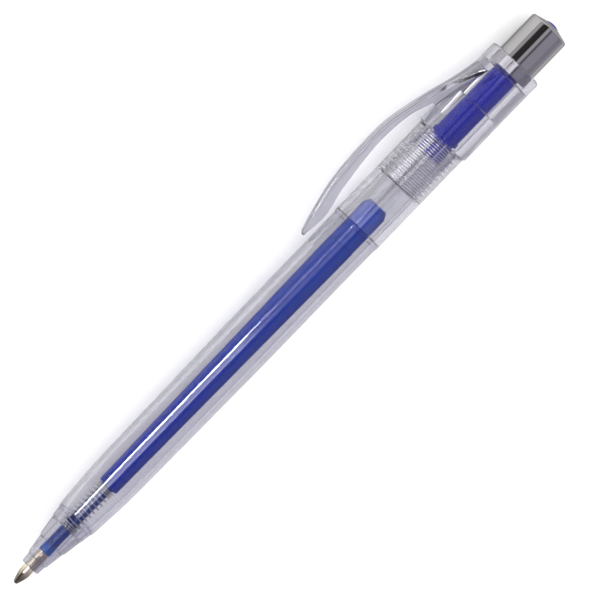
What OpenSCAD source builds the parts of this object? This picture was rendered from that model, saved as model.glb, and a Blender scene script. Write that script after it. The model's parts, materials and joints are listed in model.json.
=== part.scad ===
// Retractable pen: clear barrel in two halves, push-button cam, refill, return spring and clip.
//
// Every piece is drawn about the pen's own axis, Z, with the front face of the nose at Z = 0, the
// button towards +Z and the clip on the +Y side. place() then lays the pen on a table: +X points
// out of the writing tip, Z = 0 is the table, and the pen rests on its upper barrel and its clip.
// The point is out and latched, as it is for writing.

/* [Barrel] */
// Length of the lower barrel, from the nose to the joint
lower_length = 110.9; // [110:0.1:112]
// Length of the upper barrel behind the joint
upper_length = 20.2; // [20:0.1:21.5]
// Radius of the straight length of the lower barrel, where it is held
grip_radius = 5.24; // [5.17:0.01:5.28]
// Radius of the upper barrel
upper_radius = 5.78; // [5.7:0.01:6]
// Radius of the bore that the refill lies in
bore_radius = 3.7; // [3.6:0.05:3.8]
// Radius of the hole that the point comes out of
nose_hole_radius = 1.3; // [1.28:0.01:1.4]

/* [Joint between the barrels] */
// Length of the spigot that the lower barrel screws onto
spigot_length = 22.4; // [21.5:0.1:22.6]
// Radius of the spigot's plain pilot
pilot_radius = 4.0; // [3.95:0.01:4.05]
// Outer radius of the spigot's thread, drawn as a plain cylinder
thread_radius = 4.35; // [4.3:0.01:4.4]
// Length of the thread
thread_length = 10.1; // [9:0.1:10.5]
// Radius of the cam bore inside the spigot
cam_bore_radius = 3.3; // [3.28:0.01:3.35]

/* [Click action] */
// How far the point stands out of the nose when it is latched
point_out = 4.1; // [3.8:0.1:4.3]
// Radius of the plunger tube
plunger_radius = 2.66; // [2.6:0.01:2.68]
// Number of ribs on the cam, and of slots that they slide in
cam_ribs = 4; // [3:1:5]

/* [Button] */
// Radius of the button's metallised cap
button_radius = 4.23; // [4.15:0.01:4.25]
// How far the cap's side stands out of the upper barrel
button_out = 8.9; // [7:0.1:10]
// Thickness of the cap
cap_wall = 0.6; // [0.5:0.05:0.7]

/* [Refill] */
// Length of the refill, from the ball to the rear plug
refill_length = 98.0; // [97.9:0.1:98.1]
// Radius of the refill's tube at its rear end
refill_radius = 2.75; // [2.7:0.01:2.8]
// Radius of the metal point's shank
point_radius = 1.17; // [1.1:0.01:1.2]
// Radius of the writing ball
ball_radius = 0.35; // [0.3:0.01:0.4]

/* [Spring] */
// Outer radius of the return spring
spring_radius = 2.0; // [1.9:0.01:2.05]
// Radius of the spring wire
wire_radius = 0.17; // [0.15:0.01:0.18]
// Open coils between the closed ends
open_coils = 8; // [7:1:9]
// Closed coils at each end
closed_coils = 3; // [2:1:3]

/* [Clip] */
// Height of the clip's crest above the pen's axis
clip_crest = 10.5; // [10.3:0.05:10.6]
// Height of the clip's foot above the pen's axis
clip_foot = 5.95; // [5.9:0.05:6.1]
// Thickness of the clip's plate
clip_plate = 0.8; // [0.7:0.05:1]
// Half the width of the clip's plate
clip_half_width = 2.2; // [2:0.05:2.4]
// Width of the keel under the plate
keel_width = 1.5; // [1.2:0.1:1.8]

/* [Hidden] */
$fn = 96;
slip = 0.1;                 // gap beside a screwed or sliding fit
face_gap = 0.05;            // gap between pieces that push on each other
big = 60;                   // longer than anything it cuts
corner_steps = 5;           // pieces in a quarter-round corner
curve_steps = 3;            // pieces in each stretch of a free curve

// Stations along the pen
joint_z = lower_length;
rear_z = joint_z + upper_length;
spigot_z = joint_z - spigot_length;
thread_z = joint_z - 11.8;
thread_end_z = thread_z + thread_length;
collar_line_z = joint_z - 23.4;         // the lower barrel's wall steps out here
grip_end_z = joint_z - 31.4;            // end of the straight length, ahead of the clip's tip
bearing_z = joint_z + 9.2;              // the cam bore narrows to the plunger's bearing here
button_floor_z = rear_z - 3.4;
cap_front_z = button_floor_z + 0.7;
cap_corner_z = rear_z + button_out;
cap_top_z = cap_corner_z + 0.75;
pen_end_z = cap_top_z + 0.35;
spring_seat_z = 10.1;
refill_shoulder_z = 21.1;
refill_end_z = refill_length - point_out;
plug_z = refill_end_z - 9.9;
ball_z = ball_radius - point_out;
collar_z = 8.2 - point_out;
cap_edge = 0.45;            // rounding of the cap's rear edge
dome_radius = 1.5;          // radius of the plunger's end, which shows through the cap
dome_curve = 3.4;           // radius that the end is domed to
stem_length = 4;            // the point's stem inside the collar
stem_radius = 0.8;
lip = 0.14;                 // how far the point's metal reaches past the ball's centre

// The cam: the rotor's ribs and the plunger's splines slide in slots between the guide teeth
rotor_end_z = joint_z - 4;
guide_front_z = joint_z - 6.2;
guide_rear_z = joint_z + 2;
guide_radius = plunger_radius + 0.06;
slot_angle = 26;
rib_angle = 20;
rotor_radius = 2.5;
rotor_wall = 0.55;
tooth_height = 3.1;

// The clip, as [distance ahead of the joint, height above the axis]
clip_top_points = [[30.7, 7.14], [25.8, 8.56], [19.3, 9.95], [11.8, clip_crest], [4.3, 10.33],
                   [-3.9, 8.6], [-10.7, 6.75], [-15.6, upper_radius]];
clip_under_points = [[30.6, 6.6], [28.6, 6.15], [25.8, clip_foot], [23, 6.36], [19.3, 7.2], [11.8, 8.1],
                     [6.5, 8.3], [0.6, 7.7], [-3.9, 6.2]];
clip_side_points = [[30.7, 0.45], [29.4, 1.3], [25.8, 1.75], [17, 2.05], [11.8, clip_half_width],
                    [-3.9, clip_half_width]];
root_side_points = [[-3.9, clip_half_width], [-8, 2.7], [-12, 3.5], [-15.6, 4.5]];
hinge_z = joint_z + 3.9;
root_end_z = joint_z + 15.6;
recess_front = [joint_z + 3.9, 5.55];   // the flat cut under the root, as [z, height]
recess_rear = [joint_z + 15.4, 3.45];

// Catmull-Rom curve through points, with its ends held
function along(p, i, t) =
    let (a = p[max(i - 1, 0)], b = p[i], c = p[i + 1], d = p[min(i + 2, len(p) - 1)])
    0.5 * (2 * b + (c - a) * t + (2 * a - 5 * b + 4 * c - d) * t * t + (3 * b - a - 3 * c + d) * t * t * t);
function curve(p) = concat([for (i = [0:len(p) - 2]) for (k = [0:curve_steps - 1])
    along(p, i, k / curve_steps)], [p[len(p) - 1]]);
function arc(centre, radius, from, to) = [for (i = [0:corner_steps])
    let (a = from + (to - from) * i / corner_steps) centre + radius * [cos(a), sin(a)]];
function flip(points) = [for (i = [len(points) - 1:-1:0]) points[i]];
function from_joint(points) = [for (p = points) [joint_z - p[0], p[1]]];
function lowered(points, drop) = [for (p = points) [p[0], p[1] - drop]];
function part_of(points, z0, z1) = [for (p = points) if (p[0] >= z0 - 0.001 && p[0] <= z1 + 0.001) p];

clip_top = from_joint(curve(clip_top_points));
clip_under = from_joint(curve(clip_under_points));
clip_sides = from_joint(curve(clip_side_points));
root_sides = from_joint(curve(root_side_points));
blade_top = part_of(clip_top, 0, hinge_z);
root_top = part_of(clip_top, hinge_z, root_end_z);

// The pen lies on its upper barrel and on the edge of the clip's crest
crest_angle = asin(clip_half_width / clip_crest);
rest_roll = asin(upper_radius / clip_crest) - crest_angle;
clip_reach = clip_crest * cos(rest_roll - crest_angle);
axis_x = (pen_end_z - point_out) / 2;
axis_y = (clip_reach - upper_radius) / 2;

module place()
    translate([axis_x, axis_y, upper_radius])
        rotate([180 + rest_roll, 0, 0])
            rotate([0, -90, 0])
                children();

// A solid of revolution about the pen's axis, from [z, radius] points
module turned(points) rotate_extrude() polygon([for (p = points) [p[1], p[0]]]);

// A plain ring or disc about the axis
module ring(z0, z1, outer, inner = 0)
    turned([[z0, inner], [z0, outer], [z1, outer], [z1, inner]]);

// A sector of a ring, centred on the clip's side
module sector(z0, z1, outer, inner, angle)
    rotate([0, 0, 90 - angle / 2])
        rotate_extrude(angle = angle)
            translate([inner, z0]) square([outer - inner, z1 - z0]);

// Copies of a piece evenly round the axis
module round_axis(count) for (i = [0:count - 1]) rotate([0, 0, i * 360 / count]) children();

// A solid with a [z, height] outline in side view, and a width across the pen
module side_view(points, width)
    rotate([0, -90, 0]) translate([0, 0, -width / 2])
        linear_extrude(width) polygon(points);

// A solid with a [z, half width] outline in top view, on the clip's side of the axis
module top_view(half)
    rotate([-90, 0, 0]) linear_extrude(big)
        polygon([for (p = concat(half, flip([for (q = half) [q[0], -q[1]]]))) [p[1], -p[0]]]);

// A shell of revolution whose outside follows a curve of [z, radius], cut to a top-view outline
module blade(points, thickness, half)
    intersection() {
        turned(concat(points, flip(lowered(points, thickness))));
        top_view(half);
    }

module lower_barrel() color([0.86, 0.86, 0.95, 0.35]) place() difference() {
    turned(concat([[0, 0]],
        arc([0.35, 1.55], 0.35, 180, 90),
        [[1.9, 2.09], [2.3, 2.32], [6.1, 2.88], [6.3, 3.05], [10.3, 3.7], [12.1, 4.05],
         [12.4, 4.2], [13.1, 4.32], [16.8, 4.58], [22.5, 4.86], [32, 4.99], [41, 5.08],
         [50, 5.16], [58, grip_radius], [grip_end_z, grip_radius], [collar_line_z, 5.3], [collar_line_z + 0.1, 5.42], [joint_z, 5.42], [joint_z, 0]]));
    turned([[-1, 0], [-1, nose_hole_radius], [3, nose_hole_radius], [3.6, 1.55],
            [spring_seat_z, 1.55], [spring_seat_z, 2.25], [11.7, 2.25], [13.2, 2.9], [20, 3.5],
            [26, bore_radius], [spigot_z - slip, bore_radius], [spigot_z - slip, pilot_radius + slip],
            [thread_z - slip, pilot_radius + slip], [thread_z - slip, thread_radius + slip],
            [joint_z + 1, thread_radius + slip], [joint_z + 1, 0]]);
}

module upper_barrel() color([0.86, 0.86, 0.95, 0.35]) place() {
    difference() {
        union() {
            difference() {
                turned(concat([[joint_z, 0], [joint_z, 5.45], [joint_z + 0.4, upper_radius]],
                    arc([rear_z - 0.6, upper_radius - 0.6], 0.6, 90, 0), [[rear_z, 0]]));
                side_view([recess_front, recess_rear, [recess_rear[0], 9], [recess_front[0], 9]], big);
            }
            ring(spigot_z, thread_z, pilot_radius);
            ring(thread_z, thread_end_z, thread_radius);
            ring(thread_end_z, joint_z, pilot_radius);
            clip_root();
        }
        ring(spigot_z - 1, bearing_z, cam_bore_radius);
        ring(bearing_z - 1, button_floor_z + 1, plunger_radius + 0.06);
        ring(button_floor_z, rear_z + 1, button_radius + slip);
    }
    guide_teeth();
}

// The clip's root: the plate fades into the body, with a keel under it and a recess on each side
module clip_root() {
    blade(root_top, clip_plate, root_sides);
    side_view(concat(lowered(root_top, clip_plate / 2),
        [[root_end_z, 3], [hinge_z, 4.5]]), keel_width);
}

module guide_teeth()
    round_axis(cam_ribs)
        rotate([0, 0, 180 / cam_ribs])
            sector(guide_front_z, guide_rear_z, cam_bore_radius + 0.05, guide_radius,
                   360 / cam_ribs - slot_angle);

module pocket_clip() color([0.86, 0.86, 0.95, 0.35]) place() {
    blade(blade_top, clip_plate, clip_sides);
    side_view(concat(lowered(blade_top, clip_plate / 2), flip(clip_under)), keel_width);
}

module button_cap() color("silver") place() difference() {
    turned(concat([[cap_front_z, 0], [cap_front_z, button_radius]],
        arc([cap_corner_z - cap_edge, button_radius - cap_edge], cap_edge, 90, 15),
        [[cap_top_z, dome_radius], [cap_top_z, 0]]));
    ring(cap_front_z - 1, cap_corner_z - cap_wall, button_radius - cap_wall);
    ring(cap_front_z, pen_end_z, dome_radius);
}

module plunger_tube() color([0.1, 0.1, 0.5]) place() {
    difference() {
        union() {
            ring(rotor_end_z + face_gap, cap_corner_z - cap_wall, plunger_radius);
            ring(cap_corner_z - cap_wall - 6, cap_corner_z - cap_wall, button_radius - cap_wall);
            turned(concat([[cap_corner_z - cap_wall, 0], [cap_corner_z - cap_wall, dome_radius]],
                arc([pen_end_z - dome_curve, 0], dome_curve, asin(dome_radius / dome_curve), 0)));
        }
        ring(rotor_end_z - 1, cap_front_z, plunger_radius - 0.9);
        round_axis(cam_ribs)
            rotate([0, 0, 180 / cam_ribs])
                sector(rotor_end_z - 1, rotor_end_z + tooth_height, plunger_radius + 1, 0.5, 40);
    }
    round_axis(cam_ribs)
        sector(rotor_end_z + tooth_height + 0.4, rotor_end_z + tooth_height + 2.4, cam_bore_radius - slip,
               plunger_radius - 0.1, rib_angle);
}

module cam_rotor() color([0.85, 0.85, 0.93, 0.5]) place() difference() {
    union() {
        ring(refill_end_z + face_gap, rotor_end_z, rotor_radius);
        round_axis(cam_ribs)
            sector(rotor_end_z - 5.4, rotor_end_z, cam_bore_radius - slip, rotor_radius - 0.1, rib_angle);
        ring(rotor_end_z - 1, rotor_end_z + 4, plunger_radius - 1);
    }
    ring(refill_end_z - 1, rotor_end_z - 1.5, rotor_radius - rotor_wall);
}

// The spring's wire, swept along a helix whose pitch closes up at both ends
spring_turns = open_coils + 2 * closed_coils;
closed_pitch = wire_radius * 2 + 0.02;
open_pitch = (refill_shoulder_z - spring_seat_z - 2 * wire_radius - 2 * face_gap
              - 2 * closed_coils * closed_pitch) / open_coils;
function coil_height(turn) =
    min(turn, closed_coils) * closed_pitch
    + max(0, min(turn - closed_coils, open_coils)) * open_pitch
    + max(0, turn - closed_coils - open_coils) * closed_pitch;
coil_sides = 8;
coil_rings = 24;
coil_count = spring_turns * coil_rings;
mean_radius = spring_radius - wire_radius;
spring_points = [for (i = [0:coil_count]) for (k = [0:coil_sides - 1])
    let (turn = i / coil_rings, angle = 360 * turn, side = 360 * k / coil_sides,
         radius = mean_radius + wire_radius * cos(side))
    [radius * cos(angle), radius * sin(angle),
     spring_seat_z + face_gap + wire_radius + coil_height(turn) + wire_radius * sin(side)]];
spring_faces = concat(
    [for (i = [0:coil_count - 1]) for (k = [0:coil_sides - 1])
        let (a = i * coil_sides + k, b = i * coil_sides + (k + 1) % coil_sides)
        [a, a + coil_sides, b + coil_sides, b]],
    [[for (k = [0:coil_sides - 1]) k]],
    [[for (k = [coil_sides - 1:-1:0]) coil_count * coil_sides + k]]);

module return_spring() color("gray") place() polyhedron(spring_points, spring_faces);

module refill_tube() color([0.2, 0.35, 0.85]) place()
    turned([[refill_shoulder_z, 0.95], [refill_shoulder_z, 2.1], [plug_z - 1.6, refill_radius],
            [plug_z, refill_radius], [plug_z, 2.35], [refill_shoulder_z + 4, 1.7],
            [refill_shoulder_z + 3, 0.95]]);

module ink_column() color([0.1, 0.15, 0.6]) place()
    turned([[refill_shoulder_z + 3.4, 0], [refill_shoulder_z + 3.4, 1.1], [refill_shoulder_z + 4, 1.66],
            [plug_z - 14, 2.2], [plug_z - 14, 0]]);

module grease_follower() color([0.85, 0.85, 0.7]) place()
    turned([[plug_z - 14, 0], [plug_z - 14, 2.2], [plug_z - 11, 2.22], [plug_z - 11, 0]]);

module refill_plug() color([0.2, 0.35, 0.85]) place() difference() {
    turned([[plug_z - 4, 0], [plug_z - 4, 2.25], [plug_z, 2.3], [plug_z, refill_radius - 0.04],
            [refill_end_z - 1.3, refill_radius - 0.04], [refill_end_z, 2.0], [refill_end_z, 0]]);
    ring(plug_z - 5, refill_end_z + 1, 0.6);
}

module point_collar() color([0.2, 0.35, 0.85]) place() difference() {
    turned([[collar_z, 0], [collar_z, 1.2], [collar_z + 0.2, 1.27], [collar_z + 1.8, 1.27],
            [collar_z + 2, 1.18], [refill_shoulder_z, 1.22], [refill_shoulder_z, 0.94],
            [refill_shoulder_z + 3, 0.94], [refill_shoulder_z + 3, 0]]);
    ring(collar_z - 1, collar_z + stem_length, stem_radius);
    ring(collar_z, refill_shoulder_z + 4, 0.45);
}

module writing_point() color([0.75, 0.72, 0.68]) place() difference() {
    turned([[ball_z - lip, 0], [ball_z - lip, 0.43], [collar_z - 5.6, point_radius],
            [collar_z, point_radius], [collar_z, stem_radius], [collar_z + stem_length, stem_radius],
            [collar_z + stem_length, 0]]);
    translate([0, 0, ball_z]) sphere(ball_radius + 0.02);
    ring(ball_z, collar_z + stem_length + 1, 0.2);
}

module writing_ball() color("silver") place() translate([0, 0, ball_z]) sphere(ball_radius);

lower_barrel();
upper_barrel();
pocket_clip();
button_cap();
plunger_tube();
cam_rotor();
return_spring();
refill_tube();
ink_column();
grease_follower();
refill_plug();
point_collar();
writing_point();
writing_ball();
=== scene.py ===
# %% [markdown]
# # A push-button pen in clear plastic
#
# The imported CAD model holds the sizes, the fits and the joints. This file gives every piece its
# finished surface. The clear mouldings are rebuilt as smooth closed shells, because light bends in
# their walls and would show each flat of a coarse mesh. The thread and the spring are built by rule.

# %% Load the frame
import json
import math
from types import SimpleNamespace

import bmesh
import bpy
import numpy as np
from mathutils import Matrix, Vector


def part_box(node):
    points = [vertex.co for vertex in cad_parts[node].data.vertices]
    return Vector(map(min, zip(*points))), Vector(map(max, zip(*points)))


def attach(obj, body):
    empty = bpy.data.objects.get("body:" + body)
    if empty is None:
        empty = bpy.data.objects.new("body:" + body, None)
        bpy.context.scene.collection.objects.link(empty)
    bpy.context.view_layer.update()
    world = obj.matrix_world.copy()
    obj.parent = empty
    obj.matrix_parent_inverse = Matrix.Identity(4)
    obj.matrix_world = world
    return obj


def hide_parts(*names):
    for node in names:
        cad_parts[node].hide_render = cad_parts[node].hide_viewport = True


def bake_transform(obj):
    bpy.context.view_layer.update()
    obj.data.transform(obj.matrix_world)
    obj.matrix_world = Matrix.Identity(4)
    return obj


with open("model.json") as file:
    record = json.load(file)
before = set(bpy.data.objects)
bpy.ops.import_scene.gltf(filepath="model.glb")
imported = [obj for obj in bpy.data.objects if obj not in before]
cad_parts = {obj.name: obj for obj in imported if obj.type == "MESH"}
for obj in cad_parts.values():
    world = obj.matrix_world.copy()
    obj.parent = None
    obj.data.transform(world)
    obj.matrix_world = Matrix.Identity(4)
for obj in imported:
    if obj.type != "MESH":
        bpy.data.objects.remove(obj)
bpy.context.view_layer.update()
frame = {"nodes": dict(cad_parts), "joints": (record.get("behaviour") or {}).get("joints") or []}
print("nodes in the frame:", ", ".join(sorted(frame["nodes"])))

# %% [markdown]
# The pen lies on its side, with its axis along X. Each piece is easiest to draw as on a lathe: by its
# distance back from the nose and its height above the axis, in millimetres. The nose, the axis and
# the clip's direction all come from the frame, so nothing has to be fitted by eye.

# %% The pen's own coordinates
MM = 0.001
low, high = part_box("lower_barrel")
NOSE = high[0]
AXIS = Vector((0.0, (low[1] + high[1]) / 2, (low[2] + high[2]) / 2))
flex = next(joint for joint in frame["joints"] if joint["name"] == "clip_flex")
ACROSS = Vector(flex["axis"]).normalized()
OUT = ACROSS.cross(Vector((1, 0, 0))).normalized()


def place(back, across, out):
    """The point so far back from the nose, and so far across and out from the axis, in millimetres."""
    return Vector((NOSE - back * MM, 0, 0)) + AXIS + (ACROSS * across + OUT * out) * MM


def front(node):
    """How far back from the nose a node begins, in millimetres."""
    return (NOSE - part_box(node)[1][0]) / MM


def rear(node):
    """How far back from the nose a node ends, in millimetres."""
    return (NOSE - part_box(node)[0][0]) / MM


def radius(node):
    """The radius of a round node, from its height, in millimetres."""
    bottom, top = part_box(node)
    return (top[2] - bottom[2]) / MM / 2


JOINT = rear("lower_barrel")
print("nose at x", round(NOSE, 5), "joint", round(JOINT, 2), "mm behind it, clip towards", tuple(OUT))

# %% [markdown]
# Numbers that are worked out by nodes read better as formulas. `Value` wraps one output of a node and
# turns `a * b + 1` into the Math nodes for it. It works in shader trees and in geometry trees alike.


# %% A value that writes its own Math nodes
class Value:
    """One output socket of a node, which arithmetic works on."""

    def __init__(self, tree, socket):
        self.tree, self.socket = tree, socket

    def math(self, operation, *others):
        node = self.tree.nodes.new("ShaderNodeMath")
        node.operation = operation
        for entry, source in zip(node.inputs, (self, *others)):
            feed(self.tree, entry, source)
        return Value(self.tree, node.outputs[0])

    def __add__(self, other):
        return self.math("ADD", other)

    def __sub__(self, other):
        return self.math("SUBTRACT", other)

    def __mul__(self, other):
        return self.math("MULTIPLY", other)

    def __truediv__(self, other):
        return self.math("DIVIDE", other)

    def __rsub__(self, other):
        return (self * -1.0).math("ADD", other)

    __radd__ = __add__
    __rmul__ = __mul__


def feed(tree, entry, source):
    """Links a value to a socket, or sets the socket to a plain number, colour or name."""
    if isinstance(source, Value):
        tree.links.new(source.socket, entry)
    else:
        entry.default_value = source


class Net:
    """A node tree, with one way to add any node: its type, its settings, then its sockets."""

    def __init__(self, tree):
        self.tree = tree

    def add(self, kind, settings=None, inputs=None, out=0):
        """Adds a node and returns one of its outputs as a value."""
        node = self.tree.nodes.new(kind)
        for key, setting in (settings or {}).items():
            setattr(node, key, setting)
        for key, source in (inputs or {}).items():
            feed(self.tree, node.inputs[key], source)
        return Value(self.tree, node.outputs[out])


# %% [markdown]
# Every material here has something that changes over its surface: flow marks in the mouldings, fine
# turning marks on metal, streaks of ink in the refill. They all read Object coordinates, which are
# the frame's own metres, because each finished piece sits at the origin.


# %% Helpers for materials
PLASTIC_IOR = 1.5


def new_material(name):
    """An empty material and the net of its tree."""
    made = bpy.data.materials.new(name)
    made.use_nodes = True
    made.node_tree.nodes.clear()
    return made, Net(made.node_tree)


def finish_material(net, shader):
    """Links a shader to the material's output."""
    output = net.tree.nodes.new("ShaderNodeOutputMaterial")
    net.tree.links.new(shader.socket, output.inputs["Surface"])


def noise(net, scale, stretch=(1, 1, 1), detail=2.0):
    """Noise from 0 to 1 on Object coordinates. A stretch below 1 draws it out along that axis."""
    spot = net.add("ShaderNodeTexCoord", out=3)
    moved = net.add("ShaderNodeMapping", {}, {"Vector": spot, "Scale": stretch})
    return net.add("ShaderNodeTexNoise", {}, {"Vector": moved, "Scale": scale, "Detail": detail})


def along(net, start, end):
    """Rises from 0 to 1 between two distances back from the nose, in millimetres."""
    spot = net.add("ShaderNodeTexCoord", out=3)
    back = (NOSE - net.add("ShaderNodeSeparateXYZ", {}, {"Vector": spot})) / MM
    return ((back - start) / (end - start)).math("MAXIMUM", 0.0).math("MINIMUM", 1.0)


def blend_colours(net, share, first, second):
    """Moves from the first colour to the second by a share of 0 to 1."""
    node = net.tree.nodes.new("ShaderNodeMix")
    node.data_type = "RGBA"
    feed(net.tree, node.inputs[0], share)
    feed(net.tree, node.inputs[6], (*first, 1))
    feed(net.tree, node.inputs[7], (*second, 1))
    return Value(net.tree, node.outputs[2])


def bump(net, height, distance, strength):
    """Raises and lowers the surface by a height, of which 1 stands for a distance in metres."""
    return net.add("ShaderNodeBump", {}, {"Height": height, "Distance": distance, "Strength": strength})


# %% [markdown]
# Clear polystyrene bends light like glass. A Principled shader with full transmission does that. Its
# shadow would be black without caustics, so shadow rays meet a tinted Transparent shader instead.
# Faint flow marks run along the pen, as they do where plastic filled the mould from one end. The grey
# tint sits on the outer skin, which a face attribute marks: a wall then looks as grey where light
# crosses it edge on as where light crosses the bore too. The same attribute also carries painted shade,
# dark lines drawn on some steps, and painted light, a side towards the clip that is left less grey.


# %% Clear plastic
def clear_plastic(name, tint, shadow_tint, grain):
    """Bends light, is tinted where the skin attribute says so, and casts a light shadow."""
    made, net = new_material(name)
    flow = noise(net, 900, (0.04, 1, 1), 3)
    specks = noise(net, 2600)
    # The skin attribute holds the grey tint and, on some faces, painted shade and painted light.
    skin = net.add("ShaderNodeAttribute", {"attribute_name": "skin"}, out=2)
    shader = net.add("ShaderNodeBsdfPrincipled", {}, {
        "Base Color": blend_colours(net, skin, (1, 1, 1), tint), "Transmission Weight": 1.0,
        "IOR": PLASTIC_IOR, "Roughness": flow * specks * grain + 0.06,
        "Normal": bump(net, flow, 0.000006, 0.2)})
    through = net.add("ShaderNodeBsdfTransparent", {}, {"Color": (*shadow_tint, 1)})
    shadow_ray = net.add("ShaderNodeLightPath", out=1)
    finish_material(net, net.add("ShaderNodeMixShader", {}, {0: shadow_ray, 1: shader, 2: through}))
    return made


BARREL_CLEAR = clear_plastic("clear_barrel_plastic", (0.1, 0.09, 0.18), (0.95, 0.95, 0.97), 0.06)
print("made", BARREL_CLEAR.name)

# %% [markdown]
# The cam inside the barrel is clear too. Light would be bent twice over in it, and the plunger behind
# would be lost, so this plastic is only a veil that thickens where the surface turns away.


# %% Clear plastic inside the barrel
def thin_clear_plastic(name, colour, veil):
    """Seen through without bending, with a veil that grows at the edges."""
    made, net = new_material(name)
    clouds = noise(net, 800)
    edge = net.add("ShaderNodeLayerWeight", {}, {"Blend": 0.2}, out=1)
    skin = net.add("ShaderNodeBsdfPrincipled", {}, {
        "Base Color": (*colour, 1), "IOR": PLASTIC_IOR, "Roughness": clouds * 0.1 + 0.1})
    through = net.add("ShaderNodeBsdfTransparent", {}, {"Color": (0.99, 0.99, 0.995, 1)})
    finish_material(net, net.add("ShaderNodeMixShader", {}, {
        0: edge * 0.5 + clouds * veil, 1: through, 2: skin}))
    return made


CAM_CLEAR = thin_clear_plastic("clear_cam_plastic", (0.8, 0.8, 0.86), 0.1)
print("made", CAM_CLEAR.name)

# %% [markdown]
# The other plastics are coloured through. The refill's wall is thin, so light and dark streaks of ink
# show in it. The plunger is a deeper blue.


# %% Coloured plastic
def coloured_plastic(name, first, second, roughness, streak_scale, streak_stretch, change=None):
    """Moves from the first colour to the second in streaks, or between two distances back from the nose."""
    made, net = new_material(name)
    streaks = noise(net, streak_scale, streak_stretch, 4)
    pits = noise(net, 4000)
    share = streaks
    if change:
        share = along(net, *change) * 0.75 + streaks * 0.25
    finish_material(net, net.add("ShaderNodeBsdfPrincipled", {}, {
        "Base Color": blend_colours(net, share, first, second),
        "IOR": PLASTIC_IOR, "Specular IOR Level": 0.05, "Roughness": pits * 0.1 + roughness,
        "Normal": bump(net, streaks * 0.5 + pits * 0.1, 0.00003, 0.3)}))
    return made


REFILL_BLUE = coloured_plastic("refill_blue", (0.002, 0.0125, 0.26), (0.003, 0.036, 0.3),
                               0.55, 500, (0.12, 1, 1), (20, 86))
# Painted shade: the collar turns darker from about 6 mm behind the nose, where the spring begins round it.
COLLAR_BLUE = coloured_plastic("collar_blue", (0.021, 0.088, 0.36), (0.014, 0.03, 0.185),
                               0.45, 700, (0.3, 1, 1), (5.7, 6.1))
NAVY = coloured_plastic("plunger_navy", (0.007, 0.008, 0.22), (0.01, 0.012, 0.3), 0.4, 600, (0.1, 1, 1))
INK = coloured_plastic("blue_ink", (0.01, 0.02, 0.3), (0.02, 0.05, 0.45), 0.1, 500, (0.2, 1, 1))
GREASE = coloured_plastic("follower_grease", (0.6, 0.58, 0.42), (0.72, 0.7, 0.55), 0.3, 600, (1, 1, 1))
print("made", ", ".join(made.name for made in (REFILL_BLUE, COLLAR_BLUE, NAVY, INK, GREASE)))

# %% [markdown]
# The metals differ in colour and in their marks. The point is turned on a lathe, so fine rings run
# round it: a sine of the distance along the axis. Its colour is painted light: dark ahead of the nose
# and bright inside the barrel. The cap is plated and almost a mirror, and is painted a little lighter
# where it sits in the barrel, as painted light. The spring is drawn wire.


# %% Metals
def metal(name, first, second, roughness, ring_pitch, ring_depth, edge=1.0, change=None):
    """Moves from the first colour to the second in blotches, or between two distances from the nose.

    The rings' pitch and depth are in millimetres, and an edge below 1 dims it where it turns away.
    """
    made, net = new_material(name)
    spot = net.add("ShaderNodeTexCoord", out=3)
    x = net.add("ShaderNodeSeparateXYZ", {}, {"Vector": spot})
    rings = (x * (2 * math.pi / (ring_pitch * MM))).math("SINE") * 0.5 + 0.5
    wear = noise(net, 700, (0.4, 1, 1), 3)
    share = wear if change is None else along(net, *change) * 0.8 + wear * 0.2
    finish_material(net, net.add("ShaderNodeBsdfPrincipled", {}, {
        "Base Color": blend_colours(net, share, first, second), "Metallic": 1.0,
        "Specular Tint": (edge, edge, edge, 1),
        "Roughness": wear * 0.08 + roughness,
        "Normal": bump(net, rings, ring_depth * MM, 0.3)}))
    return made


# Painted light: the cap is lighter inside the barrel than where it stands out behind it.
CHROME = metal("plated_cap", (0.53, 0.51, 0.52), (0.33, 0.32, 0.325), 0.04, 0.5, 0.00005, 0.4,
               (rear("upper_barrel") - 0.3, rear("upper_barrel")))
# Painted light: the point is dark ahead of the nose and bright inside the barrel.
POINT_METAL = metal("turned_point", (0.11, 0.09, 0.07), (0.92, 0.82, 0.64), 0.05, 0.12, 0.0003, 0.5,
                    (-2.5, 0.4))
WIRE_METAL = metal("spring_wire", (0.5, 0.51, 0.49), (0.85, 0.86, 0.84), 0.1, 0.4, 0.0005)
BALL_METAL = metal("ball_carbide", (0.3, 0.3, 0.31), (0.42, 0.42, 0.43), 0.08, 0.3, 0.0002)
print("made", ", ".join(made.name for made in (CHROME, POINT_METAL, WIRE_METAL, BALL_METAL)))

# %% [markdown]
# Two Geometry Nodes trees make shapes here: a lathe and a spring winder. Both begin with named inputs,
# and both end by giving the shape its material and making its instances real.


# %% The beginning and the end of a tree
def start_tree(name, kinds):
    """Begins a tree: returns its net, its inputs' identifiers and its inputs as values."""
    tree = bpy.data.node_groups.new(name, "GeometryNodeTree")
    identifiers = {}
    for label, kind in kinds.items():
        socket = tree.interface.new_socket(label, in_out="INPUT", socket_type="NodeSocket" + kind)
        identifiers[label] = socket.identifier
    tree.interface.new_socket("Geometry", in_out="OUTPUT", socket_type="NodeSocketGeometry")
    group = tree.nodes.new("NodeGroupInput")
    return Net(tree), identifiers, {label: Value(tree, group.outputs[label]) for label in kinds}


def finish_tree(net, shape, material):
    """Gives the shape its material, makes its instances real and links it to the tree's output."""
    coloured = net.add("GeometryNodeSetMaterial", {}, {"Geometry": shape, "Material": material})
    real = net.add("GeometryNodeRealizeInstances", {}, {"Geometry": coloured})
    net.tree.links.new(real.socket, net.tree.nodes.new("NodeGroupOutput").inputs[0])
    print("tree", net.tree.name, "has", len(net.tree.nodes), "nodes")
    return net.tree


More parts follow.
